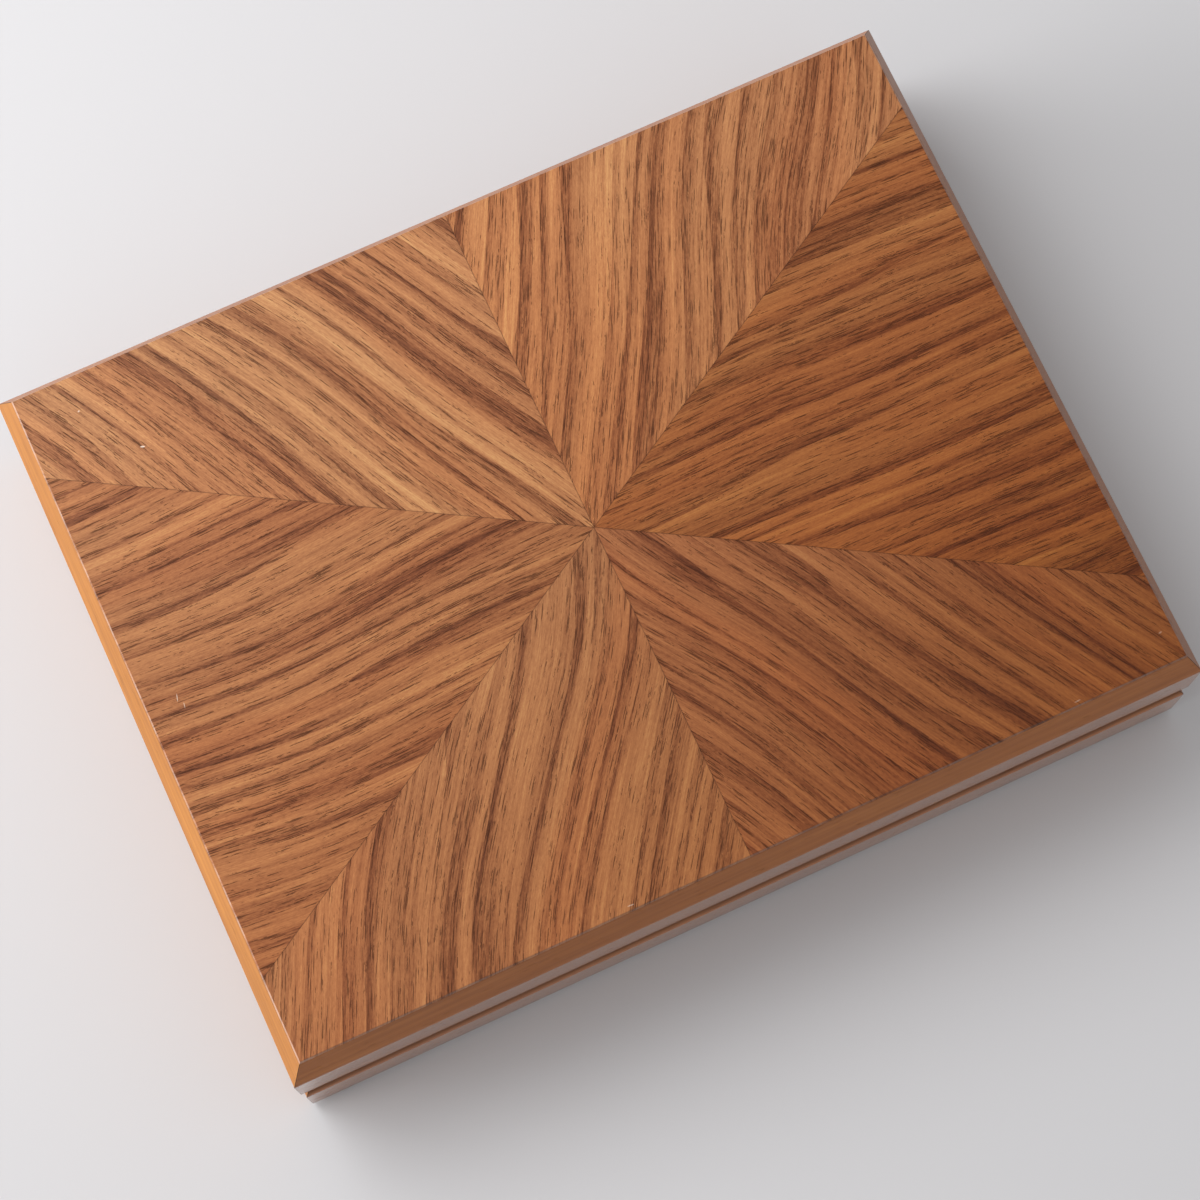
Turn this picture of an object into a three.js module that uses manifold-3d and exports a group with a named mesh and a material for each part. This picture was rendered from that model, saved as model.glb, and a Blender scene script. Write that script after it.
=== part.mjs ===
import * as THREE from 'three';
import { mergeVertices } from 'three/addons/utils/BufferGeometryUtils.js';
import Module from 'manifold-3d';

// A flat walnut case for two decks of playing cards, closed, with its lid hinged along the back.
// Millimetres, +Z up, long side along X, front towards -Y, resting on z = 0.

// Decks that the case is made round
const deckWidth = 63.5;
const deckLength = 88.9;
const deckPlay = 1.5; // room left on every side of a deck

// Tray strips that frame the two deck wells
const dividerWidth = 6;
const sideStripWidth = 5;
const endStripWidth = 10;
const trayDrop = 2; // top of the strips below the rim
const stripArris = 0.5;
const scoopWidth = 24;
const scoopDepth = 7.5;

// Mitred rails of the base and of the lid
const railWall = 9;
const railArris = 0.35;
const baseSideHeight = 12.6;
const lidSideHeight = 12.9;
const grooveHeight = 1.2; // height of the chamfer on each of the two facing rims
const grooveDepth = 1;
const bevelWidth = 2.85;
const bevelHeight = 6;
const rabbetWidth = 4;
const baseEndInset = 0.5; // ends of the base inside the ends of the lid
const baseFrontProud = 0.5; // front of the base before the front of the lid

// Panels, veneer and felt
const floorThickness = 3;
const lidPanelThickness = 3.2;
const veneerThickness = 0.6;
const veneerLeafCount = 6;
const liningThickness = 1;
const footFeltThickness = 0.8;
const footFeltInset = 4;

// Butt hinges let into the two back rims
const hingeLength = 28;
const hingeEndDistance = 22.5; // from each end of the base to the near end of its hinge
const knuckleCount = 5;
const knuckleGap = 0.3;
const barrelRadius = 1.5;
const pinRadius = 0.6;
const pinPlay = 0.25;
const pinHeadRadius = 1.1;
const pinHeadLength = 0.7;
const leafThickness = 0.9;
const leafWidth = 6.4; // from the hinge axis to the inner edge of a leaf
const leafSink = 0.15; // face of a leaf below its rim
const leafCornerRadius = 0.8;
const barrelPlay = 0.3;

// Countersunk slotted screws, two to a leaf
const screwSpacing = 17;
const screwHeadRadius = 1.35;
const screwShankRadius = 0.75;
const screwLength = 7;
const screwTipLength = 1.5;
const screwPlay = 0.2;
const screwSink = 0.08; // top of a head below the face of its leaf
const slotWidth = 0.4;
const slotDepth = 0.35;

// Joints between pieces
const glueGap = 0.05;
const seamGap = 0.03; // between two leaves of veneer
const rimGap = 0.2; // between the closed rims
const overrun = 2; // how far a cutting solid runs past what it cuts

const roundSteps = 24;
const arrisSteps = 3;

// Sizes that follow
const wellWidth = deckWidth + 2 * deckPlay;
const wellDepth = deckLength + 2 * deckPlay;
const innerWidth = 2 * (wellWidth + sideStripWidth + glueGap) + dividerWidth;
const innerDepth = wellDepth + 2 * (endStripWidth + glueGap);
const baseWidth = innerWidth + 2 * railWall;
const baseDepth = innerDepth + 2 * railWall;
const lidWidth = baseWidth + 2 * baseEndInset;
const lidDepth = baseDepth - baseFrontProud;

const baseHeight = baseSideHeight + grooveHeight;
const lidHeight = grooveHeight + lidSideHeight + bevelHeight;
const lidRailHeight = lidHeight - veneerThickness - glueGap;
const lidRabbetFloor = lidRailHeight - lidPanelThickness - glueGap;
const baseZ = footFeltThickness + glueGap;
const rimZ = baseZ + baseHeight;
const lidZ = rimZ + rimGap;
const hingeZ = rimZ + rimGap / 2;
const liningZ = baseZ + floorThickness + glueGap;
const trayZ = liningZ + liningThickness + glueGap;
const trayHeight = rimZ - trayDrop - trayZ;

// The case lies between the front of the base and the back of the hinge barrels
const lidFrontReach = lidDepth / 2;
const frontReach = lidFrontReach + baseFrontProud;
const axisReach = lidDepth / 2 - grooveDepth;
const backReach = axisReach + barrelRadius;
const lidCentreY = (frontReach - backReach) / 2;
const baseCentreY = lidCentreY - baseFrontProud / 2;
const hingeCentreOffset = baseWidth / 2 - hingeEndDistance - hingeLength / 2;
const hingeY = lidCentreY + axisReach;

const woodLook = { color: 0x7d5336, roughness: 0.5, metalness: 0 };
const innerWoodLook = { color: 0x8a5f40, roughness: 0.6, metalness: 0 };
const veneerLook = { color: 0x965c3a, roughness: 0.42, metalness: 0 };
const panelLook = { color: 0xa9835c, roughness: 0.7, metalness: 0 };
const feltLook = { color: 0x1f4a33, roughness: 0.95, metalness: 0 };
const brassLook = { color: 0xb8913f, roughness: 0.32, metalness: 1 };
const steelLook = { color: 0x9c9a94, roughness: 0.35, metalness: 1 };

const wasm = await Module();
wasm.setup();

function toSolid(geometry) {
  const bare = geometry.clone();
  bare.deleteAttribute('normal');
  bare.deleteAttribute('uv');
  const merged = mergeVertices(bare);
  const mesh = new wasm.Mesh({
    numProp: 3,
    vertProperties: new Float32Array(merged.attributes.position.array),
    triVerts: new Uint32Array(merged.index.array),
  });
  return new wasm.Manifold(mesh);
}

function toGeometry(solid) {
  const mesh = solid.getMesh();
  const geometry = new THREE.BufferGeometry();
  geometry.setAttribute('position', new THREE.BufferAttribute(mesh.vertProperties, mesh.numProp));
  geometry.setIndex(new THREE.BufferAttribute(mesh.triVerts, 1));
  const faceted = geometry.toNonIndexed();
  faceted.computeVertexNormals();
  return faceted;
}

function named(name, geometry, look) {
  const mesh = new THREE.Mesh(geometry, new THREE.MeshStandardMaterial(look));
  mesh.name = name;
  return mesh;
}

// A closed outline from corner points, those with a radius rounded off
function roundedOutline(corners) {
  const shape = new THREE.Shape();
  corners.forEach(([x, y, radius = 0], i) => {
    const before = corners[(i + corners.length - 1) % corners.length];
    const after = corners[(i + 1) % corners.length];
    const here = new THREE.Vector2(x, y);
    const start = new THREE.Vector2(before[0], before[1]).sub(here).setLength(radius).add(here);
    const end = new THREE.Vector2(after[0], after[1]).sub(here).setLength(radius).add(here);
    if (i === 0) shape.moveTo(start.x, start.y);
    else shape.lineTo(start.x, start.y);
    if (radius > 0) shape.quadraticCurveTo(x, y, end.x, end.y);
  });
  return shape;
}

function extruded(shape, depth, curveSegments = arrisSteps) {
  return new THREE.ExtrudeGeometry(shape, { depth, bevelEnabled: false, curveSegments });
}

// Turns an outline drawn in (inward, up) and extruded into a bar along X, centred on x = 0
function alongX(shape, length, curveSegments) {
  const geometry = extruded(shape, length, curveSegments);
  const inward = new THREE.Vector3(0, 1, 0);
  const up = new THREE.Vector3(0, 0, 1);
  const along = new THREE.Vector3(1, 0, 0);
  geometry.applyMatrix4(new THREE.Matrix4().makeBasis(inward, up, along));
  return geometry.translate(-length / 2, 0, 0);
}

function block(width, depth, height, x, y, z) {
  return toSolid(new THREE.BoxGeometry(width, depth, height).translate(x, y, z));
}

// A bar cut at 45 degrees at both ends, outer face on y = 0
function mitredBar(profile, length, height) {
  const mitreInset = glueGap / 2 * Math.SQRT2;
  const outer = length / 2 - mitreInset + overrun;
  const inner = length / 2 - mitreInset - railWall - overrun;
  const plan = new THREE.Shape();
  plan.moveTo(-outer, -overrun);
  plan.lineTo(outer, -overrun);
  plan.lineTo(inner, railWall + overrun);
  plan.lineTo(-inner, railWall + overrun);
  const envelope = extruded(plan, height + 2 * overrun).translate(0, 0, -overrun);
  return toSolid(alongX(profile, length)).intersect(toSolid(envelope));
}

// Upright rail: rabbet for the floor at the bottom inside, chamfer at the top outside
function baseRailProfile() {
  return roundedOutline([
    [0, 0, railArris],
    [railWall - rabbetWidth, 0],
    [railWall - rabbetWidth, floorThickness],
    [railWall, floorThickness],
    [railWall, baseHeight, railArris],
    [grooveDepth, baseHeight],
    [0, baseSideHeight, railArris],
  ]);
}

// Lid rail: chamfer at the bottom outside, long bevel at the top, rabbet for the panel
function lidRailProfile() {
  const cutShare = (lidRailHeight - grooveHeight - lidSideHeight) / bevelHeight;
  return roundedOutline([
    [0, grooveHeight, railArris],
    [grooveDepth, 0],
    [railWall, 0, railArris],
    [railWall, lidRabbetFloor],
    [railWall - rabbetWidth, lidRabbetFloor],
    [railWall - rabbetWidth, lidRailHeight],
    [bevelWidth * cutShare, lidRailHeight],
    [0, grooveHeight + lidSideHeight, railArris],
  ]);
}

// Pockets in a back rail for leaf, barrel and screws, seen from its rim at height z = 0 and below
function hingePockets() {
  const leafBed = leafSink + leafThickness + glueGap;
  const barrelBed = barrelRadius + barrelPlay - rimGap / 2;
  const barrelReach = grooveDepth + barrelRadius + barrelPlay;
  const leafReach = grooveDepth + leafWidth + glueGap;
  const pocketLength = hingeLength + 2 * (pinHeadLength + barrelPlay);
  const pockets = [];
  for (const side of [-1, 1]) {
    const x = side * hingeCentreOffset;
    pockets.push(
      block(hingeLength + 2 * glueGap, leafReach + overrun, leafBed + overrun,
        x, (leafReach - overrun) / 2, (overrun - leafBed) / 2),
      block(pocketLength, barrelReach + overrun, barrelBed + overrun,
        x, (barrelReach - overrun) / 2, (overrun - barrelBed) / 2),
    );
    for (const screwX of screwPlaces()) {
      const bore = screwLength + screwPlay + leafSink + overrun;
      const pilot = new THREE.CylinderGeometry(
        screwShankRadius + screwPlay, screwShankRadius + screwPlay, bore, roundSteps);
      pilot.rotateX(Math.PI / 2);
      pockets.push(toSolid(pilot.translate(x + screwX, grooveDepth + screwReach(), overrun - bore / 2)));
    }
  }
  return pockets;
}

function screwPlaces() {
  return [-screwSpacing / 2, screwSpacing / 2];
}

// From the hinge axis to the row of screws, half way over the flat of the leaf
function screwReach() {
  return (barrelRadius + barrelPlay + leafWidth) / 2;
}

function withPockets(rail, rimHeight, upwards) {
  let cut = rail;
  for (const pocket of hingePockets()) {
    const turned = upwards ? pocket : pocket.mirror([0, 0, 1]);
    cut = cut.subtract(turned.translate([0, 0, rimHeight]));
  }
  return cut;
}

// The four rails of a frame, in order front, right, back, left
function frameRails(prefix, width, depth, height, profile, centreY, z, pocketRim, pocketUpwards) {
  const rails = new THREE.Group();
  const sides = [
    { side: 'front', length: width, x: 0, y: -depth / 2, turn: 0 },
    { side: 'right', length: depth, x: width / 2, y: 0, turn: Math.PI / 2 },
    { side: 'back', length: width, x: 0, y: depth / 2, turn: Math.PI },
    { side: 'left', length: depth, x: -width / 2, y: 0, turn: -Math.PI / 2 },
  ];
  for (const { side, length, x, y, turn } of sides) {
    let solid = mitredBar(profile, length, height);
    if (side === 'back') solid = withPockets(solid, pocketRim, pocketUpwards);
    const rail = named(`${prefix}_${side}_rail`, toGeometry(solid), woodLook);
    rail.rotation.z = turn;
    rail.position.set(x, y, 0);
    rails.add(rail);
  }
  rails.position.set(0, centreY, z);
  return rails;
}

function sheet(name, width, depth, thickness, look, y, z) {
  const mesh = named(name, new THREE.BoxGeometry(width, depth, thickness), look);
  mesh.position.set(0, y, z + thickness / 2);
  return mesh;
}

function baseFloor() {
  const spare = 2 * (rabbetWidth - glueGap);
  return sheet('base_floor', innerWidth + spare, innerDepth + spare, floorThickness - glueGap,
    panelLook, baseCentreY, baseZ);
}

function wellLining() {
  return sheet('well_lining', innerWidth - 2 * glueGap, innerDepth - 2 * glueGap, liningThickness,
    feltLook, baseCentreY, liningZ);
}

function footFelt() {
  return sheet('foot_felt', baseWidth - 2 * footFeltInset, baseDepth - 2 * footFeltInset,
    footFeltThickness, feltLook, baseCentreY, 0);
}

// A strip of the tray with its top and bottom arrises softened
function trayStrip(name, shape, x, y) {
  const geometry = new THREE.ExtrudeGeometry(shape, {
    depth: trayHeight - 2 * stripArris,
    bevelThickness: stripArris,
    bevelSize: stripArris,
    bevelOffset: -stripArris,
    bevelSegments: 2,
    curveSegments: roundSteps / 2,
  });
  geometry.translate(0, 0, stripArris);
  const strip = named(name, toGeometry(toSolid(geometry)), innerWoodLook);
  strip.position.set(x, y, trayZ);
  return strip;
}

function plainStripShape(width, depth) {
  return roundedOutline([
    [-width / 2, -depth / 2],
    [width / 2, -depth / 2],
    [width / 2, depth / 2],
    [-width / 2, depth / 2],
  ]);
}

// Front or back strip, with a round finger scoop cut into its well side for each deck
function scoopedStripShape(length, inwardSign) {
  const radius = (scoopWidth ** 2 / 4 + scoopDepth ** 2) / (2 * scoopDepth);
  const halfAngle = Math.asin(scoopWidth / 2 / radius);
  const wellEdge = inwardSign * endStripWidth / 2;
  const centreY = wellEdge + inwardSign * (radius - scoopDepth);
  const wellX = (dividerWidth + wellWidth) / 2;
  const shape = new THREE.Shape();
  shape.moveTo(-length / 2, -wellEdge);
  shape.lineTo(-length / 2, wellEdge);
  for (const x of [-wellX, wellX]) {
    const middle = -inwardSign * Math.PI / 2;
    shape.lineTo(x - scoopWidth / 2, wellEdge);
    shape.absarc(x, centreY, radius,
      middle - inwardSign * halfAngle, middle + inwardSign * halfAngle, inwardSign < 0);
  }
  shape.lineTo(length / 2, wellEdge);
  shape.lineTo(length / 2, -wellEdge);
  return shape;
}

function tray() {
  const strips = new THREE.Group();
  const endStripLength = innerWidth - 2 * (sideStripWidth + 2 * glueGap);
  const sideX = (innerWidth - sideStripWidth) / 2 - glueGap;
  const endY = (innerDepth - endStripWidth) / 2 - glueGap;
  const sideShape = plainStripShape(sideStripWidth, innerDepth - 2 * glueGap);
  const dividerShape = plainStripShape(dividerWidth, wellDepth - 2 * glueGap);
  strips.add(
    trayStrip('tray_left_strip', sideShape, -sideX, 0),
    trayStrip('tray_right_strip', sideShape, sideX, 0),
    trayStrip('tray_front_strip', scoopedStripShape(endStripLength, 1), 0, -endY),
    trayStrip('tray_back_strip', scoopedStripShape(endStripLength, -1), 0, endY),
    trayStrip('tray_divider', dividerShape, 0, 0),
  );
  strips.position.y = baseCentreY;
  return strips;
}

function lidInnerSize() {
  return { width: lidWidth - 2 * railWall, depth: lidDepth - 2 * railWall };
}

function lidPanel() {
  const { width, depth } = lidInnerSize();
  const spare = 2 * (rabbetWidth - glueGap);
  return sheet('lid_panel', width + spare, depth + spare, lidPanelThickness,
    panelLook, lidCentreY, lidZ + lidRabbetFloor + glueGap);
}

function lidLining() {
  const { width, depth } = lidInnerSize();
  return sheet('lid_lining', width - 2 * glueGap, depth - 2 * glueGap, liningThickness,
    feltLook, lidCentreY, lidZ + lidRabbetFloor - liningThickness);
}

// The veneered top of the lid as one slab, whose edges carry on the slope of the bevel
function veneerSlab() {
  const spreadShare = veneerThickness / bevelHeight;
  const across = (size) => roundedOutline([
    [-size / 2 + bevelWidth * (1 - spreadShare), 0],
    [size / 2 - bevelWidth * (1 - spreadShare), 0],
    [size / 2 - bevelWidth, veneerThickness],
    [-size / 2 + bevelWidth, veneerThickness],
  ]);
  const acrossDepth = toSolid(alongX(across(lidDepth), lidWidth));
  const acrossWidth = toSolid(alongX(across(lidWidth), lidDepth).rotateZ(Math.PI / 2));
  return acrossDepth.intersect(acrossWidth);
}

// One wedge of the radial match, its point drawn back along its own grain by the seam gap
function veneerWedge(direction) {
  const reach = lidWidth + lidDepth;
  const halfAngle = Math.PI / veneerLeafCount;
  const shape = new THREE.Shape();
  shape.moveTo(0, 0);
  shape.lineTo(reach, -reach * Math.tan(halfAngle));
  shape.lineTo(reach, reach * Math.tan(halfAngle));
  const wedge = extruded(shape, veneerThickness + 2 * overrun);
  wedge.translate(seamGap / 2 / Math.sin(halfAngle), 0, -overrun);
  return toSolid(wedge.rotateZ(direction));
}

function veneer() {
  const leaves = new THREE.Group();
  const places = ['right', 'back_right', 'back_left', 'left', 'front_left', 'front_right'];
  const slab = veneerSlab();
  places.forEach((place, i) => {
    const direction = i * 2 * Math.PI / veneerLeafCount;
    const leaf = slab.intersect(veneerWedge(direction));
    leaves.add(named(`veneer_${place}_leaf`, toGeometry(leaf), veneerLook));
  });
  leaves.position.set(0, lidCentreY, lidZ + lidHeight - veneerThickness);
  return leaves;
}

// Knuckle places along the barrel, from the left end, as [middle, length]
function knucklePlaces() {
  const pitch = hingeLength / knuckleCount;
  const length = pitch - knuckleGap;
  return Array.from({ length: knuckleCount }, (_, i) => [(i + 0.5) * pitch - hingeLength / 2, length]);
}

// Rolled knuckle with its bore, running out tangentially into the leaf. side is -1 below, 1 above
function knuckleShape(side) {
  const face = leafSink + rimGap / 2;
  const faceAngle = Math.asin(face / barrelRadius);
  const bedAngle = Math.asin((face + leafThickness) / barrelRadius);
  const tabEnd = barrelRadius + barrelPlay + glueGap;
  const shape = new THREE.Shape();
  shape.moveTo(tabEnd, side * face);
  shape.absarc(0, 0, barrelRadius, side * faceAngle, side * (bedAngle - 2 * Math.PI), side > 0);
  shape.lineTo(tabEnd, side * (face + leafThickness));
  const bore = new THREE.Path();
  bore.absarc(0, 0, pinRadius + pinPlay, 0, 2 * Math.PI, side < 0);
  shape.holes.push(bore);
  return shape;
}

function knuckle(side, middle, length) {
  return toSolid(alongX(knuckleShape(side), length, roundSteps).translate(middle, 0, 0));
}

// Hole and countersink for one screw, opening upwards at z = 0
function screwHole() {
  const countersink = screwHeadRadius - screwShankRadius;
  const points = [
    [0, -leafThickness - overrun],
    [screwShankRadius + screwPlay, -leafThickness - overrun],
    [screwShankRadius + screwPlay, -countersink - screwSink],
    [screwHeadRadius + screwPlay, -screwSink],
    [screwHeadRadius + screwPlay, overrun],
    [0, overrun],
  ];
  const profile = points.map(([x, y]) => new THREE.Vector2(x, y));
  return new THREE.LatheGeometry(profile, roundSteps).rotateX(Math.PI / 2);
}

// Leaf plate with its knuckles, in hinge coordinates: axis along X, leaf towards +Y
function hingeLeaf(name, side, ownsKnuckle) {
  const face = leafSink + rimGap / 2;
  const plateStart = barrelRadius + barrelPlay;
  const plan = roundedOutline([
    [-hingeLength / 2, plateStart],
    [hingeLength / 2, plateStart],
    [hingeLength / 2, leafWidth, leafCornerRadius],
    [-hingeLength / 2, leafWidth, leafCornerRadius],
  ]);
  const low = side > 0 ? face : -face - leafThickness;
  let leaf = toSolid(extruded(plan, leafThickness).translate(0, 0, low));
  knucklePlaces().forEach(([middle, length], i) => {
    if (ownsKnuckle(i)) leaf = leaf.add(knuckle(side, middle, length));
  });
  for (const x of screwPlaces()) {
    const hole = screwHole();
    if (side > 0) hole.rotateX(Math.PI);
    leaf = leaf.subtract(toSolid(hole.translate(x, screwReach(), side * face)));
  }
  return named(name, toGeometry(leaf), brassLook);
}

// Pin with a domed head at each end of the barrel
function hingePin(name) {
  const shank = hingeLength / 2;
  const dome = Array.from({ length: arrisSteps }, (_, i) => {
    const angle = i / arrisSteps * Math.PI / 2;
    return [pinHeadRadius * Math.cos(angle), shank + pinHeadLength * Math.sin(angle)];
  });
  const upper = [[pinRadius, shank], ...dome, [0, shank + pinHeadLength]];
  const lower = upper.map(([radius, height]) => [radius, -height]).reverse();
  const profile = [...lower, ...upper].map(([radius, height]) => new THREE.Vector2(radius, height));
  const geometry = new THREE.LatheGeometry(profile, roundSteps).rotateZ(-Math.PI / 2);
  return named(name, toGeometry(toSolid(geometry)), steelLook);
}

// Countersunk slotted screw, its head at the top
function screw(name) {
  const cone = screwHeadRadius - screwShankRadius;
  const points = [
    [0, -screwLength],
    [screwShankRadius, -screwLength + screwTipLength],
    [screwShankRadius, -cone],
    [screwHeadRadius, 0],
    [0, 0],
  ];
  const profile = points.map(([x, y]) => new THREE.Vector2(x, y));
  const body = toSolid(new THREE.LatheGeometry(profile, roundSteps).rotateX(Math.PI / 2));
  const slot = block(2 * screwHeadRadius + overrun, slotWidth, 2 * slotDepth, 0, 0, 0);
  return named(name, toGeometry(body.subtract(slot)), brassLook);
}

function hinge(place) {
  const group = new THREE.Group();
  group.add(
    hingeLeaf(`hinge_${place}_base_leaf`, -1, (i) => i % 2 === 0),
    hingeLeaf(`hinge_${place}_lid_leaf`, 1, (i) => i % 2 === 1),
    hingePin(`hinge_${place}_pin`),
  );
  const headDepth = leafSink + rimGap / 2 + screwSink;
  screwPlaces().forEach((x, i) => {
    const baseScrew = screw(`hinge_${place}_base_screw_${i + 1}`);
    baseScrew.position.set(x, screwReach(), -headDepth);
    const lidScrew = screw(`hinge_${place}_lid_screw_${i + 1}`);
    lidScrew.rotation.x = Math.PI;
    lidScrew.position.set(x, screwReach(), headDepth);
    group.add(baseScrew, lidScrew);
  });
  group.rotation.z = Math.PI;
  group.position.set(place === 'left' ? -hingeCentreOffset : hingeCentreOffset, hingeY, hingeZ);
  return group;
}

const cardCase = new THREE.Group();
cardCase.add(
  frameRails('base', baseWidth, baseDepth, baseHeight, baseRailProfile(), baseCentreY, baseZ,
    baseHeight, true),
  baseFloor(),
  wellLining(),
  footFelt(),
  tray(),
  frameRails('lid', lidWidth, lidDepth, lidRailHeight, lidRailProfile(), lidCentreY, lidZ, 0, false),
  lidPanel(),
  lidLining(),
  veneer(),
  hinge('left'),
  hinge('right'),
);

export default cardCase;
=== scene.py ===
import math

import bpy
from mathutils import Matrix, Vector, noise


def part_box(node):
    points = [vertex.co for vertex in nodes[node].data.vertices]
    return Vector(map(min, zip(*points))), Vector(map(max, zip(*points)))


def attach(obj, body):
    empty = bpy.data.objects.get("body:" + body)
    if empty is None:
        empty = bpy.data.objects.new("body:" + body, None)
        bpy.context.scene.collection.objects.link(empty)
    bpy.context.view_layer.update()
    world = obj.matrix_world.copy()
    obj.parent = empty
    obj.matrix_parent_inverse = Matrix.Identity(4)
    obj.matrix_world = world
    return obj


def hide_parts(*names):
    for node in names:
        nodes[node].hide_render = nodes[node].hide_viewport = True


# A walnut case with a hinged lid and two wells inside. Places and sizes are in metres. Inside a
# material lengths are in millimetres, but for the depth of its relief.
mmPerMetre = 1000

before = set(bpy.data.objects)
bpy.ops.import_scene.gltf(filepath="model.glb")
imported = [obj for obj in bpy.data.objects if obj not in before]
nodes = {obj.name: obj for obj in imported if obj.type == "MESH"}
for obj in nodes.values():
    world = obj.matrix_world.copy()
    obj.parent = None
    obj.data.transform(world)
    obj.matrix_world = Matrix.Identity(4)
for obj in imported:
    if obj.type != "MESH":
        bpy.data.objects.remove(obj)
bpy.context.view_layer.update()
print("frame loaded:", len(nodes), "nodes")


class Reading:
    # one value in a node tree; sums on it add their Math nodes

    def __init__(self, recipe, socket):
        self.recipe = recipe
        self.socket = socket

    def work(self, operation, *values):
        return self.recipe.add("ShaderNodeMath", {"operation": operation}, dict(enumerate(values)))

    def __add__(self, other):
        return self.work("ADD", self, other)

    def __radd__(self, other):
        return self.work("ADD", other, self)

    def __sub__(self, other):
        return self.work("SUBTRACT", self, other)

    def __rsub__(self, other):
        return self.work("SUBTRACT", other, self)

    def __mul__(self, other):
        return self.work("MULTIPLY", self, other)

    def __rmul__(self, other):
        return self.work("MULTIPLY", other, self)

    def __abs__(self):
        return self.work("ABSOLUTE", self)

    def orMore(self, other):
        # the larger of the two
        return self.work("MAXIMUM", self, other)

    def part(self):
        # what is left of the value over a whole number
        return self.work("FRACT", self)

    def between(self, low, high):
        # 0 at low or below, 1 at high or above, smooth in between; low may be the larger
        return self.recipe.add("ShaderNodeMapRange", {"interpolation_type": "SMOOTHSTEP"},
                               {"Value": self, "From Min": low, "From Max": high})


def fromScreen(red, green, blue):
    # screen colour, 0 to 255, to the linear one that sockets take
    parts = [c / 255 for c in (red, green, blue)]
    return tuple(p / 12.92 if p <= 0.04045 else ((p + 0.055) / 1.055) ** 2.4 for p in parts) + (1,)


class Recipe:
    # the nodes of one material, or of the room

    def __init__(self, owner, shader):
        owner.use_nodes = True
        self.owner = owner
        self.tree = owner.node_tree
        self.shader = self.tree.nodes[shader]

    def add(self, kind, settings, values, output=0):
        node = self.tree.nodes.new(kind)
        for key, value in settings.items():
            if key == "stops":
                self.setStops(node.color_ramp, value)
            else:
                setattr(node, key, value)
        for key, value in values.items():
            self.feed(node.inputs[key], value)
        return Reading(self, node.outputs[output])

    def setStops(self, ramp, stops):
        while len(ramp.elements) < len(stops):
            ramp.elements.new(1)
        for element, (position, tone) in zip(ramp.elements, stops):
            element.position = position
            element.color = fromScreen(*tone)

    def feed(self, socket, value):
        if isinstance(value, Reading):
            self.tree.links.new(value.socket, socket)
        else:
            socket.default_value = value

    def place(self):
        # where on the object a point lies, in millimetres
        coords = self.add("ShaderNodeTexCoord", {}, {}, "Object")
        big = self.add("ShaderNodeVectorMath", {"operation": "SCALE"}, {0: coords, "Scale": mmPerMetre})
        return [self.add("ShaderNodeSeparateXYZ", {}, {0: big}, axis) for axis in "XYZ"]

    def spot(self, x, y, z):
        return self.add("ShaderNodeCombineXYZ", {}, {"X": x, "Y": y, "Z": z})

    def grain(self, x, y, z, layer):
        # soft noise, 0 to 1; the layer says how fine and how rough it is
        return self.add("ShaderNodeTexNoise", {}, {
            "Vector": self.spot(x, y, z), "Scale": 1,
            "Detail": layer.get("detail", 2), "Roughness": layer.get("roughness", 0.5),
        })

    def figure(self, along, across, depth, layer):
        # grain drawn out along the wood; the layer's two scales are per millimetre
        return self.grain(along * layer["along"], across * layer["across"], depth, layer)

    def dashes(self, x, y, z, share, layer):
        # short strokes, one to a cell, in that share of the cells; the layer gives how far one reaches
        cells = {"Vector": self.spot(x, y, z), "Scale": 1}
        distance = self.add("ShaderNodeTexVoronoi", {}, cells)
        chance = self.add("ShaderNodeTexVoronoi", {}, cells, "Color")
        return distance.between(*layer["reach"]) * (share - chance).between(*layer["chosen"])

    def ramp(self, value, stops):
        return self.add("ShaderNodeValToRGB", {"stops": stops}, {"Fac": value})

    def blend(self, mask, under, over, mode="MIX"):
        # the colour mix node's mask, its two colours and its result are sockets 0, 6, 7 and 2
        settings = {"data_type": "RGBA", "blend_type": mode}
        return self.add("ShaderNodeMix", settings, {0: mask, 6: under, 7: over}, 2)

    def tinted(self, under, tint):
        return self.blend(1.0, under, tint, "MULTIPLY")

    def relief(self, height, depth):
        return self.add("ShaderNodeBump", {}, {"Height": height, "Distance": depth, "Strength": 1})

    def finish(self, **values):
        for key, value in values.items():
            self.feed(self.shader.inputs[key.replace("_", " ")], value)
        return self.owner


def newMaterial(name):
    return Recipe(bpy.data.materials.new(name), "Principled BSDF")


cameraSetup = {
    "lens": 92.85,
    "sensor": 36,
    "nearest": 0.01,
    "place": (-0.0584, -0.1253, 0.5423),
    "aim": (-0.0044, -0.0120, 0.03495),
    "upHeading": 65.24,          # which way over the floor the picture's top points, in degrees from +X
}
# power in watts, spread in degrees
lampSetup = {
    "window": {
        "place": (-1.10, 0.29, 0.36), "aim": (-0.15, 0.04, 0), "size": (1.25, 0.6),
        "power": 2.35, "spread": 60, "inGloss": False,
    },
    "skylight": {
        "place": (-0.24, 0.30, 0.44), "aim": (-0.06, 0.04, 0.02), "size": (0.4, 0.4),
        "power": 1.5, "spread": 150, "inGloss": True,
    },
}
roomSetup = {"tone": (1, 1, 1, 1), "light": 0.55, "shown": 0.6}


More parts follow.
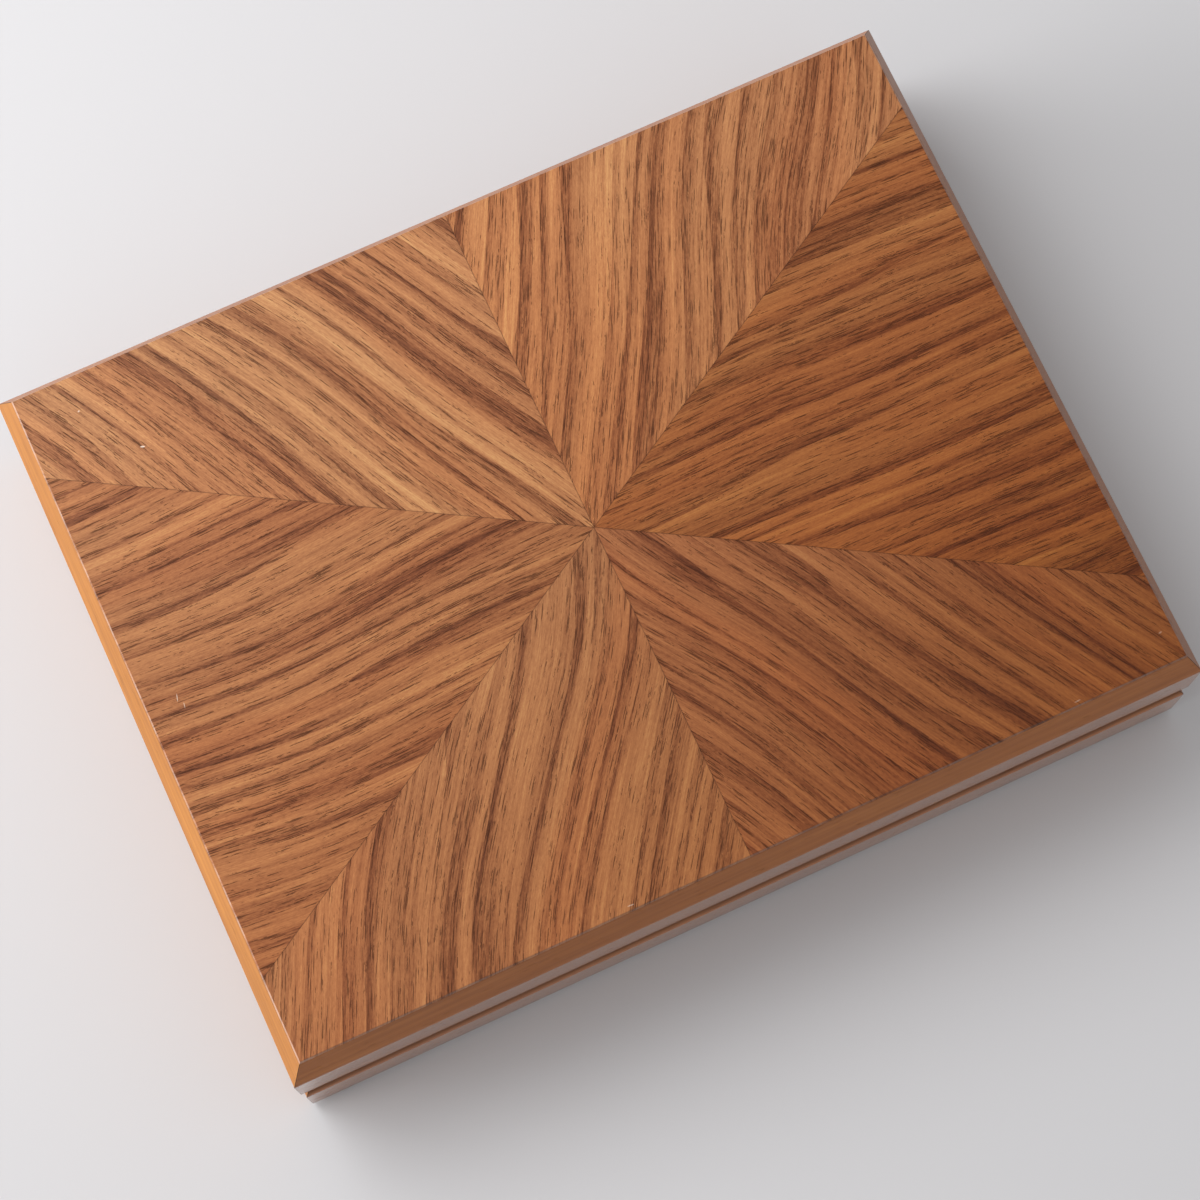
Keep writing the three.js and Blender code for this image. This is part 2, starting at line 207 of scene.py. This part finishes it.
def setCamera(setup):
    place = Vector(setup["place"])
    back = (place - Vector(setup["aim"])).normalized()
    heading = math.radians(setup["upHeading"])
    right = Vector((math.cos(heading), math.sin(heading), 0)).cross(back).normalized()
    up = back.cross(right)
    camera = bpy.data.objects.new("camera", bpy.data.cameras.new("camera"))
    camera.data.lens = setup["lens"]
    camera.data.sensor_width = setup["sensor"]
    camera.data.clip_start = setup["nearest"]
    camera.matrix_world = Matrix.Translation(place) @ Matrix((right, up, back)).transposed().to_4x4()
    bpy.context.scene.collection.objects.link(camera)
    bpy.context.scene.camera = camera


def setLamp(name, setup):
    place = Vector(setup["place"])
    light = bpy.data.lights.new(name, "AREA")
    light.shape = "RECTANGLE"
    light.size, light.size_y = setup["size"]
    light.energy = setup["power"]
    light.spread = math.radians(setup["spread"])
    lamp = bpy.data.objects.new(name, light)
    lamp.location = place
    lamp.rotation_euler = (Vector(setup["aim"]) - place).to_track_quat("-Z", "Y").to_euler()
    lamp.visible_camera = False
    lamp.visible_glossy = setup["inGloss"]
    bpy.context.scene.collection.objects.link(lamp)


def setRoom(setup):
    # even light all round; the camera and the polished parts see a paler room than lights the wood
    world = bpy.data.worlds.new("room")
    bpy.context.scene.world = world
    room = Recipe(world, "Background")
    inView = room.add("ShaderNodeLightPath", {}, {}, "Is Camera Ray")
    inGloss = room.add("ShaderNodeLightPath", {}, {}, "Is Glossy Ray")
    strength = room.add("ShaderNodeMapRange", {}, {
        "Value": inView.orMore(inGloss), "To Min": setup["light"], "To Max": setup["shown"],
    })
    room.finish(Color=setup["tone"], Strength=strength)


bpy.context.scene.view_settings.view_transform = "Standard"
setCamera(cameraSetup)
for lampName, lampValues in lampSetup.items():
    setLamp(lampName, lampValues)
setRoom(roomSetup)
print("camera and light set")


veneerSetup = {
    # the leaves anticlockwise from the right: each one's tint, partly its own tone and partly painted
    # shade that is deepest on the right leaf, and how well it takes the polish
    "leaves": {
        "right": ((0.86, 0.74, 0.55, 1), 0.24),
        "back_right": ((1.09, 1.07, 1, 1), 0.3),
        "back_left": ((1.03, 1.05, 1.06, 1), 0.3),
        "left": ((0.9, 0.85, 0.82, 1), 0.27),
        "front_left": ((0.93, 0.94, 0.98, 1), 0.28),
        "front_right": ((0.87, 0.8, 0.82, 1), 0.24),
    },
    "seed": 3,
    "drift": 0.4,                # how far the figure moves on from one leaf to the next
    "wander": {"along": 0.011, "across": 0.011, "detail": 1, "reach": 15},
    # what the tone is made of, each with its step in the seed and its share
    "layers": {
        "bands": {"along": 0.006, "across": 0.15, "detail": 1, "seed": 1, "share": 0.34},
        "streaks": {"along": 0.018, "across": 0.85, "detail": 3, "roughness": 0.65,
                    "seed": 2, "share": 0.48},
        "fibre": {"along": 0.14, "across": 5.5, "detail": 2, "roughness": 0.6, "seed": 3, "share": 0.28},
        "fuzz": {"along": 1.1, "across": 4, "detail": 2, "roughness": 0.7, "seed": 7, "share": 0.26},
    },
    "depth": 0.15,               # how much darker than its layers the tone is
    "ring": {"along": 0.009, "across": 0.11, "detail": 1, "seed": 9, "reach": 3,
             "spacing": 0.21, "late": (0.3, 1), "share": 0.11},
    "stops": [
        (0.26, (92, 46, 20)), (0.38, (129, 74, 40)), (0.47, (156, 98, 58)),
        (0.6, (181, 120, 73)), (0.76, (205, 150, 93)),
    ],
    "blush": {"along": 0.01, "across": 0.09, "detail": 1, "seed": 6,
              "from": (0.42, 0.65), "share": 0.8, "tint": (1, 0.9, 0.84, 1)},
    # painted light and shade: the lid's colour drifts from corner to corner, painted paler towards the
    # back as if lit there, and darkest at the front right as if in shade
    "corners": {
        "halfWidth": 100,
        "halfDepth": 75,
        "front": ((1, 0.96, 0.94, 1), (0.6, 0.49, 0.29, 1)),
        "back": ((1.04, 1.16, 1.3, 1), (0.92, 0.98, 1.18, 1)),
    },
    # pores: how dark the wood is where most of them lie, and how each stroke fades at its rim
    "pore": {"along": 0.2, "across": 4.8, "seed": 5, "bands": 0.3, "dark": (0.5, 0.2), "most": 0.9,
             "reach": (0.46, 0.24), "chosen": (-0.06, 0.06), "share": 0.68, "tone": (60, 29, 12)},
    "seam": {"width": (0.16, 0.03), "share": 0.3},
    # the top arris is worn pale in patches, most of all along the left end
    "edge": {"top": 34.9, "depth": 0.06, "scale": 0.3, "detail": 3, "seed": 8, "patches": (0.2, 0.7),
             "share": 0.26, "leftEnd": (-78, -80), "leftShare": 0.4, "tone": (200, 168, 150)},
    # specks and knocks: x, y, half length, half width, heading in degrees, strength and leaf
    "marks": [
        (-64.1, 45.2, 0.42, 0.16, -20, 0.9, "back_left"),
        (-71.6, 55.6, 0.2, 0.14, 30, 0.7, "back_left"),
        (-75.8, 2.3, 0.7, 0.07, 74, 0.7, "left"),
        (-75.2, 0.6, 0.55, 0.06, 80, 0.6, "left"),
        (79.0, -56.6, 0.34, 0.14, 10, 0.2, "front_right"),
        (61.0, -61.3, 0.6, 0.1, 4, 0.25, "front_right"),
        (-21.5, -61.2, 0.62, 0.12, -3, 0.35, "front_left"),
    ],
    # squared, in half lengths: where a mark ends and where its full tone starts
    "markRim": (1.2, 0.5),
    "markTone": (230, 208, 190),
    "roughness": 0.5,
    "fibreRoughness": 0.14,
    "fibreRelief": 0.35,
    "poreDulls": 0.65,           # how much of the polish a pore takes away
    "polishRoughness": 0.42,
    "gloss": 0.1,
    "relief": 0.00006,           # metres
}


leafTurn = math.tau / len(veneerSetup["leaves"])


def markMask(x, y, marks, rim):
    # up to 1 on the small pale marks
    mask = 0
    for markX, markY, halfLength, halfWidth, heading, strength, leaf in marks:
        turn = math.radians(heading)
        offX, offY = x - markX, y - markY
        along = (offX * math.cos(turn) + offY * math.sin(turn)) * (1 / halfLength)
        across = (offY * math.cos(turn) - offX * math.sin(turn)) * (1 / halfWidth)
        mask = mask + (along * along + across * across).between(*rim) * strength
    return mask


def paintedLightAndShade(recipe, x, y, corners):
    # the painted light and shade at a place on the lid, from those of its four corners
    toRight = x.between(-corners["halfWidth"], corners["halfWidth"])
    toBack = y.between(-corners["halfDepth"], corners["halfDepth"])
    front = recipe.blend(toRight, *corners["front"])
    back = recipe.blend(toRight, *corners["back"])
    return recipe.blend(toBack, front, back)


def veneerLeaf(leaf, turn, mirror, seed, tint, polish, setup):
    recipe = newMaterial("veneer " + leaf)
    x, y, z = recipe.place()
    along = x * math.cos(turn) + y * math.sin(turn)
    across = (y * math.cos(turn) - x * math.sin(turn)) * mirror
    # growth lines that wander slowly from side to side
    line = across + recipe.figure(along, across, seed, setup["wander"]) * setup["wander"]["reach"]

    figure = {}
    tone = -setup["depth"]
    for key, layer in setup["layers"].items():
        figure[key] = recipe.figure(along, line, seed + layer["seed"], layer)
        tone = tone + figure[key] * layer["share"]
    ring = setup["ring"]
    wobble = recipe.figure(along, line, seed + ring["seed"], ring) * ring["reach"]
    tone = tone - (line * ring["spacing"] + wobble).part().between(*ring["late"]) * ring["share"]
    wood = recipe.ramp(tone, setup["stops"])

    blush = setup["blush"]
    blushed = recipe.figure(along, line, seed + blush["seed"], blush).between(*blush["from"])
    wood = recipe.blend(blushed * blush["share"], wood, blush["tint"], "MULTIPLY")
    # the leaf's tint: partly its own tone, partly painted shade
    wood = recipe.tinted(wood, tint)
    # painted light and shade: the lid is painted paler towards the back left and darker towards the front
    # right
    wood = recipe.tinted(wood, paintedLightAndShade(recipe, x, y, setup["corners"]))

    pore, seam, edge = setup["pore"], setup["seam"], setup["edge"]
    poreTone = fromScreen(*pore["tone"])
    inDark = (tone - figure["bands"] * pore["bands"]).between(*pore["dark"]) * pore["most"]
    pores = recipe.dashes(along * pore["along"], line * pore["across"], seed + pore["seed"], inDark, pore)
    wood = recipe.blend(pores * pore["share"], wood, poreTone)
    # the seams run half a leaf's turn to each side of its middle line
    toSeam = along * math.sin(leafTurn / 2) - abs(across) * math.cos(leafTurn / 2)
    wood = recipe.blend(toSeam.between(*seam["width"]) * seam["share"], wood, poreTone)
    patches = recipe.grain(x * edge["scale"], y * edge["scale"], seed + edge["seed"], edge)
    worn = z.between(edge["top"], edge["top"] - edge["depth"]) * patches.between(*edge["patches"])
    wear = edge["share"] + x.between(*edge["leftEnd"]) * edge["leftShare"]
    wood = recipe.blend(worn * wear, wood, fromScreen(*edge["tone"]))
    marks = [mark for mark in setup["marks"] if mark[-1] == leaf]
    if marks:
        wood = recipe.blend(markMask(x, y, marks, setup["markRim"]), wood, fromScreen(*setup["markTone"]))

    return recipe.finish(
        Base_Color=wood,
        Roughness=setup["roughness"] + figure["fibre"] * setup["fibreRoughness"],
        Specular_IOR_Level=setup["gloss"],
        Coat_Weight=(1 - pores * setup["poreDulls"]) * polish,
        Coat_Roughness=setup["polishRoughness"],
        Normal=recipe.relief(figure["fibre"] * setup["fibreRelief"] - pores, setup["relief"]),
    )


for count, (leaf, (tint, polish)) in enumerate(veneerSetup["leaves"].items()):
    mirror = 1 if count % 2 else -1      # every other leaf is turned over
    seed = veneerSetup["seed"] + count * veneerSetup["drift"]
    look = veneerLeaf(leaf, count * leafTurn, mirror, seed, tint, polish, veneerSetup)
    nodes["veneer_" + leaf + "_leaf"].material_slots[0].material = look
print("veneer done")


woodSetup = {
    "mottle": {"along": 0.03, "across": 0.12, "detail": 2, "share": 0.4},
    "fibre": {"along": 0.025, "across": 1.3, "detail": 4, "roughness": 0.65, "share": 0.9},
    "depth": 0.15,
    "fleck": {"along": 0.35, "across": 3.5, "detail": 1, "from": (0.66, 0.74), "share": 0.35,
              "dulls": 0.3, "relief": 0.5, "tone": (92, 58, 36)},
    "roughness": 0.46,
    "fibreRoughness": 0.12,
    "fibreRelief": 0.5,
    "gloss": 0.1,
    "polishRoughness": 0.16,
    "polishBend": 1.56,
    "relief": 0.00004,           # metres
}
railSetup = {
    "stops": [(0.25, (138, 80, 37)), (0.5, (158, 95, 45)), (0.75, (174, 109, 54))],
    "seeds": {"base": 4, "lid": 3},
    "seedStep": 7.3,
    # painted light and shade: the left rails are painted paler and more golden than the rest, as if lit
    # from the left, and the front and right ones darker, as if in shade
    "paintedLightTints": {"left": (1.24, 1.4, 1.12, 1), "front": (0.93, 0.9, 0.82, 1), "right": (0.72, 0.7, 0.7, 1)},
    "polish": 1,
    "mitre": {"width": (0.14, 0.02), "share": 0.8, "tone": (62, 38, 24)},
    # painted shade: heights near the joint that are painted darker, as the shade under the lid's
    # overhang, where the polish is also duller
    "shadedGroove": {"below": (13.5, 14.5), "above": (16.0, 15.0), "share": 0.8, "dulls": 0.8,
               "tone": (62, 38, 22)},
    "bevel": {"height": (28.85, 29.05), "dulls": 0.65},
}
traySetup = {
    "stops": [(0.25, (124, 78, 50)), (0.5, (154, 103, 68)), (0.75, (178, 126, 84))],
    "seed": 40,
    "seedStep": 5.1,
    "polish": 0.6,
    # whether each one's grain runs along Y
    "pieces": {
        "tray_left_strip": True, "tray_right_strip": True, "tray_divider": True,
        "tray_front_strip": False, "tray_back_strip": False,
    },
}
panelSetup = {
    "stops": [(0.25, (158, 122, 84)), (0.5, (178, 141, 100)), (0.75, (196, 160, 118))],
    "seed": 80,
    "seedStep": 6,
    "polish": 0.6,
    "pieces": {"base_floor": False, "lid_panel": False},
}


def solidWood(name, alongY, seed, setup, tint=None, mitreFrame=None):
    # mitreFrame, for a rail, is its frame's half width, half depth and middle line
    recipe = newMaterial(name)
    x, y, z = recipe.place()
    along, across = (y, x) if alongY else (x, y)

    def solidFigure(layer):
        return recipe.figure(along, across, z * layer["across"] + seed, layer)

    mottle, fibre, fleck = (woodSetup[key] for key in ("mottle", "fibre", "fleck"))
    fibres = solidFigure(fibre)
    flecks = solidFigure(fleck).between(*fleck["from"])
    tone = solidFigure(mottle) * mottle["share"] + fibres * fibre["share"] - woodSetup["depth"]
    wood = recipe.ramp(tone, setup["stops"])
    wood = recipe.blend(flecks * fleck["share"], wood, fromScreen(*fleck["tone"]))
    # for a rail, the tint is painted light and shade, set by which side it is on
    if tint:
        wood = recipe.tinted(wood, tint)
    polish = setup["polish"]
    if mitreFrame:
        shadedGroove, bevel, mitre = setup["shadedGroove"], setup["bevel"], setup["mitre"]
        inGroove = z.between(*shadedGroove["below"]) * z.between(*shadedGroove["above"])
        # painted shade: darker in the recess under the lid's overhang
        wood = recipe.blend(inGroove * shadedGroove["share"], wood, fromScreen(*shadedGroove["tone"]))
        polish = polish - inGroove * shadedGroove["dulls"] - z.between(*bevel["height"]) * bevel["dulls"]
        halfWidth, halfDepth, centreY = mitreFrame
        toMitre = abs((halfWidth - abs(x)) - (halfDepth - abs(y - centreY)))
        inMitre = toMitre.between(*mitre["width"]) * mitre["share"]
        wood = recipe.blend(inMitre, wood, fromScreen(*mitre["tone"]))
    relief = fibres * woodSetup["fibreRelief"] - flecks * fleck["relief"]
    return recipe.finish(
        Base_Color=wood,
        Roughness=woodSetup["roughness"] + fibres * woodSetup["fibreRoughness"],
        Specular_IOR_Level=woodSetup["gloss"],
        Coat_Weight=polish - flecks * fleck["dulls"],
        Coat_Roughness=woodSetup["polishRoughness"],
        Coat_IOR=woodSetup["polishBend"],
        Normal=recipe.relief(relief, woodSetup["relief"]),
    )


railSides = ("front", "right", "back", "left")


def mitreFrameOf(part):
    # half width, half depth and middle line of the base's or the lid's frame, in millimetres
    corners = [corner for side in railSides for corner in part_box(part + "_" + side + "_rail")]
    lowX, highX = min(c.x for c in corners), max(c.x for c in corners)
    lowY, highY = min(c.y for c in corners), max(c.y for c in corners)
    halfWidth, halfDepth, centreY = (highX - lowX) / 2, (highY - lowY) / 2, (highY + lowY) / 2
    return [length * mmPerMetre for length in (halfWidth, halfDepth, centreY)]


for part, firstSeed in railSetup["seeds"].items():
    mitreFrame = mitreFrameOf(part)
    for count, side in enumerate(railSides):
        name = part + " rail " + side
        alongY = side in ("right", "left")
        seed = firstSeed + count * railSetup["seedStep"]
        look = solidWood(name, alongY, seed, railSetup, railSetup["paintedLightTints"].get(side), mitreFrame)
        nodes[part + "_" + side + "_rail"].material_slots[0].material = look
for setup in (traySetup, panelSetup):
    for count, (piece, alongY) in enumerate(setup["pieces"].items()):
        seed = setup["seed"] + count * setup["seedStep"]
        look = solidWood(piece.replace("_", " "), alongY, seed, setup)
        nodes[piece].material_slots[0].material = look
print("rails, tray and panels done")


hingeSetup = {
    "brass": {"seed": 2, "stops": [(0.3, (150, 118, 56)), (0.5, (190, 152, 78)), (0.7, (208, 172, 98))]},
    "pin steel": {"seed": 5, "stops": [(0.3, (140, 139, 136)), (0.7, (186, 184, 180))]},
    "brushing": {"along": 0.4, "across": 14, "detail": 2, "share": 0.3, "roughens": 0.1},
    "tarnish": {"scale": 0.25, "detail": 3, "share": 0.7, "roughens": 0.12},
    "roughness": 0.2,
    "relief": 0.000008,          # metres
}


def drawnMetal(name, setup):
    recipe = newMaterial(name)
    x, y, z = recipe.place()
    seed, brushing, tarnish = setup[name]["seed"], setup["brushing"], setup["tarnish"]
    scale = tarnish["scale"]
    brushed = recipe.figure(x, y, z * brushing["across"] + seed, brushing)
    tarnished = recipe.grain(x * scale, y * scale, z * scale + seed, tarnish)
    tone = tarnished * tarnish["share"] + brushed * brushing["share"]
    return recipe.finish(
        Base_Color=recipe.ramp(tone, setup[name]["stops"]),
        Metallic=1,
        Roughness=setup["roughness"] + tarnished * tarnish["roughens"] + brushed * brushing["roughens"],
        Normal=recipe.relief(brushed, setup["relief"]),
    )


brass = drawnMetal("brass", hingeSetup)
steel = drawnMetal("pin steel", hingeSetup)
for name, piece in nodes.items():
    if name.startswith("hinge_"):
        piece.material_slots[0].material = steel if name.endswith("_pin") else brass
print("hinges done")


feltSetup = {
    "cell": 0.002,
    "cutRound": 0.00025,
    "waves": 0.00004,
    "waveScale": 90,
    "swell": 0.00012,
    "swellFrom": 0.002,          # how far from what presses it down the felt has its full swell
    "clumps": {"scale": 0.5, "detail": 3, "share": 0.4, "relief": 0.5},
    "fibres": {"scale": 3, "detail": 4, "roughness": 0.7, "share": 0.6},
    "stops": [(0.3, (22, 55, 37)), (0.5, (33, 76, 52)), (0.72, (54, 104, 76))],
    "roughness": 0.9,
    "gloss": 0.2,
    "sheen": 0.2,
    "sheenRoughness": 0.5,
    "relief": 0.00012,           # metres
}


def feltLook(name, setup):
    recipe = newMaterial(name)
    x, y, z = recipe.place()

    def evenGrain(layer):
        return recipe.grain(x * layer["scale"], y * layer["scale"], z * layer["scale"], layer)

    clumps, fibres = evenGrain(setup["clumps"]), evenGrain(setup["fibres"])
    tone = clumps * setup["clumps"]["share"] + fibres * setup["fibres"]["share"]
    return recipe.finish(
        Base_Color=recipe.ramp(tone, setup["stops"]),
        Roughness=setup["roughness"],
        Specular_IOR_Level=setup["gloss"],
        Sheen_Weight=setup["sheen"],
        Sheen_Roughness=setup["sheenRoughness"],
        Normal=recipe.relief(fibres + clumps * setup["clumps"]["relief"], setup["relief"]),
    )


def cutLines(low, high, setup):
    # grid lines over a sheet, with one close to each cut edge
    steps = round((high - low) / setup["cell"])
    inner = [low + (high - low) * i / steps for i in range(1, steps)]
    return [low, low + setup["cutRound"]] + inner + [high - setup["cutRound"], high]


def feltSheet(name, node, body, faceUp, swellAt, look, setup):
    # a closed sheet: both faces wave a little, and they meet half way up the cut edge
    low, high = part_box(node)
    middle = (low.z + high.z) / 2
    xs, ys = cutLines(low.x, high.x, setup), cutLines(low.y, high.y, setup)
    vertices, faces = [], []
    number = {}                  # which vertex each point of the grid has
    for layer in (0, 1):
        for i, x in enumerate(xs):
            for j, y in enumerate(ys):
                onCut = i in (0, len(xs) - 1) or j in (0, len(ys) - 1)
                if onCut and layer:
                    number[i, j, 1] = number[i, j, 0]
                    continue
                wave = noise.noise(Vector((x, y, layer)) * setup["waveScale"]) * setup["waves"]
                free = (layer == 1) == faceUp      # the face away from its panel
                lift = swellAt(x, y) * setup["swell"] if free else 0
                if layer:
                    z = high.z - setup["waves"] + wave + lift
                else:
                    z = low.z + setup["waves"] + wave - lift
                number[i, j, layer] = len(vertices)
                vertices.append((x, y, middle if onCut else z))
    for i in range(len(xs) - 1):
        for j in range(len(ys) - 1):
            cell = [(i, j), (i + 1, j), (i + 1, j + 1), (i, j + 1)]
            faces.append([number[a, b, 1] for a, b in cell])
            faces.append([number[a, b, 0] for a, b in reversed(cell)])
    mesh = bpy.data.meshes.new(name)
    mesh.from_pydata(vertices, [], faces)
    mesh.shade_smooth()
    mesh.materials.append(look)
    sheet = bpy.data.objects.new(name, mesh)
    bpy.context.scene.collection.objects.link(sheet)
    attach(sheet, body)
    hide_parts(node)
    return sheet


well = {
    "left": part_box("tray_left_strip")[1].x,
    "right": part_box("tray_right_strip")[0].x,
    "front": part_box("tray_front_strip")[1].y,
    "back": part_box("tray_back_strip")[0].y,
    "divider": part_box("tray_divider"),
}


def inWells(x, y):
    # 1 in the middle of the two wells, 0 where the tray presses the felt down
    beside = max(well["divider"][0].x - x, x - well["divider"][1].x)
    room = min(y - well["front"], well["back"] - y, x - well["left"], well["right"] - x, beside)
    return max(0, min(1, room / feltSetup["swellFrom"]))


def nowhere(x, y):
    return 0


green = feltLook("green felt", feltSetup)
wellFelt = feltSheet("well_felt", "well_lining", "base", True, inWells, green, feltSetup)
lidFelt = feltSheet("lid_felt", "lid_lining", "lid", False, nowhere, green, feltSetup)
footFelt = feltSheet("base_foot_felt", "foot_felt", "base", False, nowhere, green, feltSetup)
print("felt done")


floorSetup = {"size": 8, "tone": (204, 203, 205), "roughness": 0.7, "gloss": 0.3}


def setFloor(setup):
    half = setup["size"] / 2
    mesh = bpy.data.meshes.new("floor")
    corners = [(-half, -half, 0), (half, -half, 0), (half, half, 0), (-half, half, 0)]
    mesh.from_pydata(corners, [], [(0, 1, 2, 3)])
    recipe = newMaterial("pale floor")
    look = recipe.finish(
        Base_Color=fromScreen(*setup["tone"]),
        Roughness=setup["roughness"],
        Specular_IOR_Level=setup["gloss"],
    )
    mesh.materials.append(look)
    floor = bpy.data.objects.new("floor", mesh)
    bpy.context.scene.collection.objects.link(floor)


setFloor(floorSetup)
print("floor done")
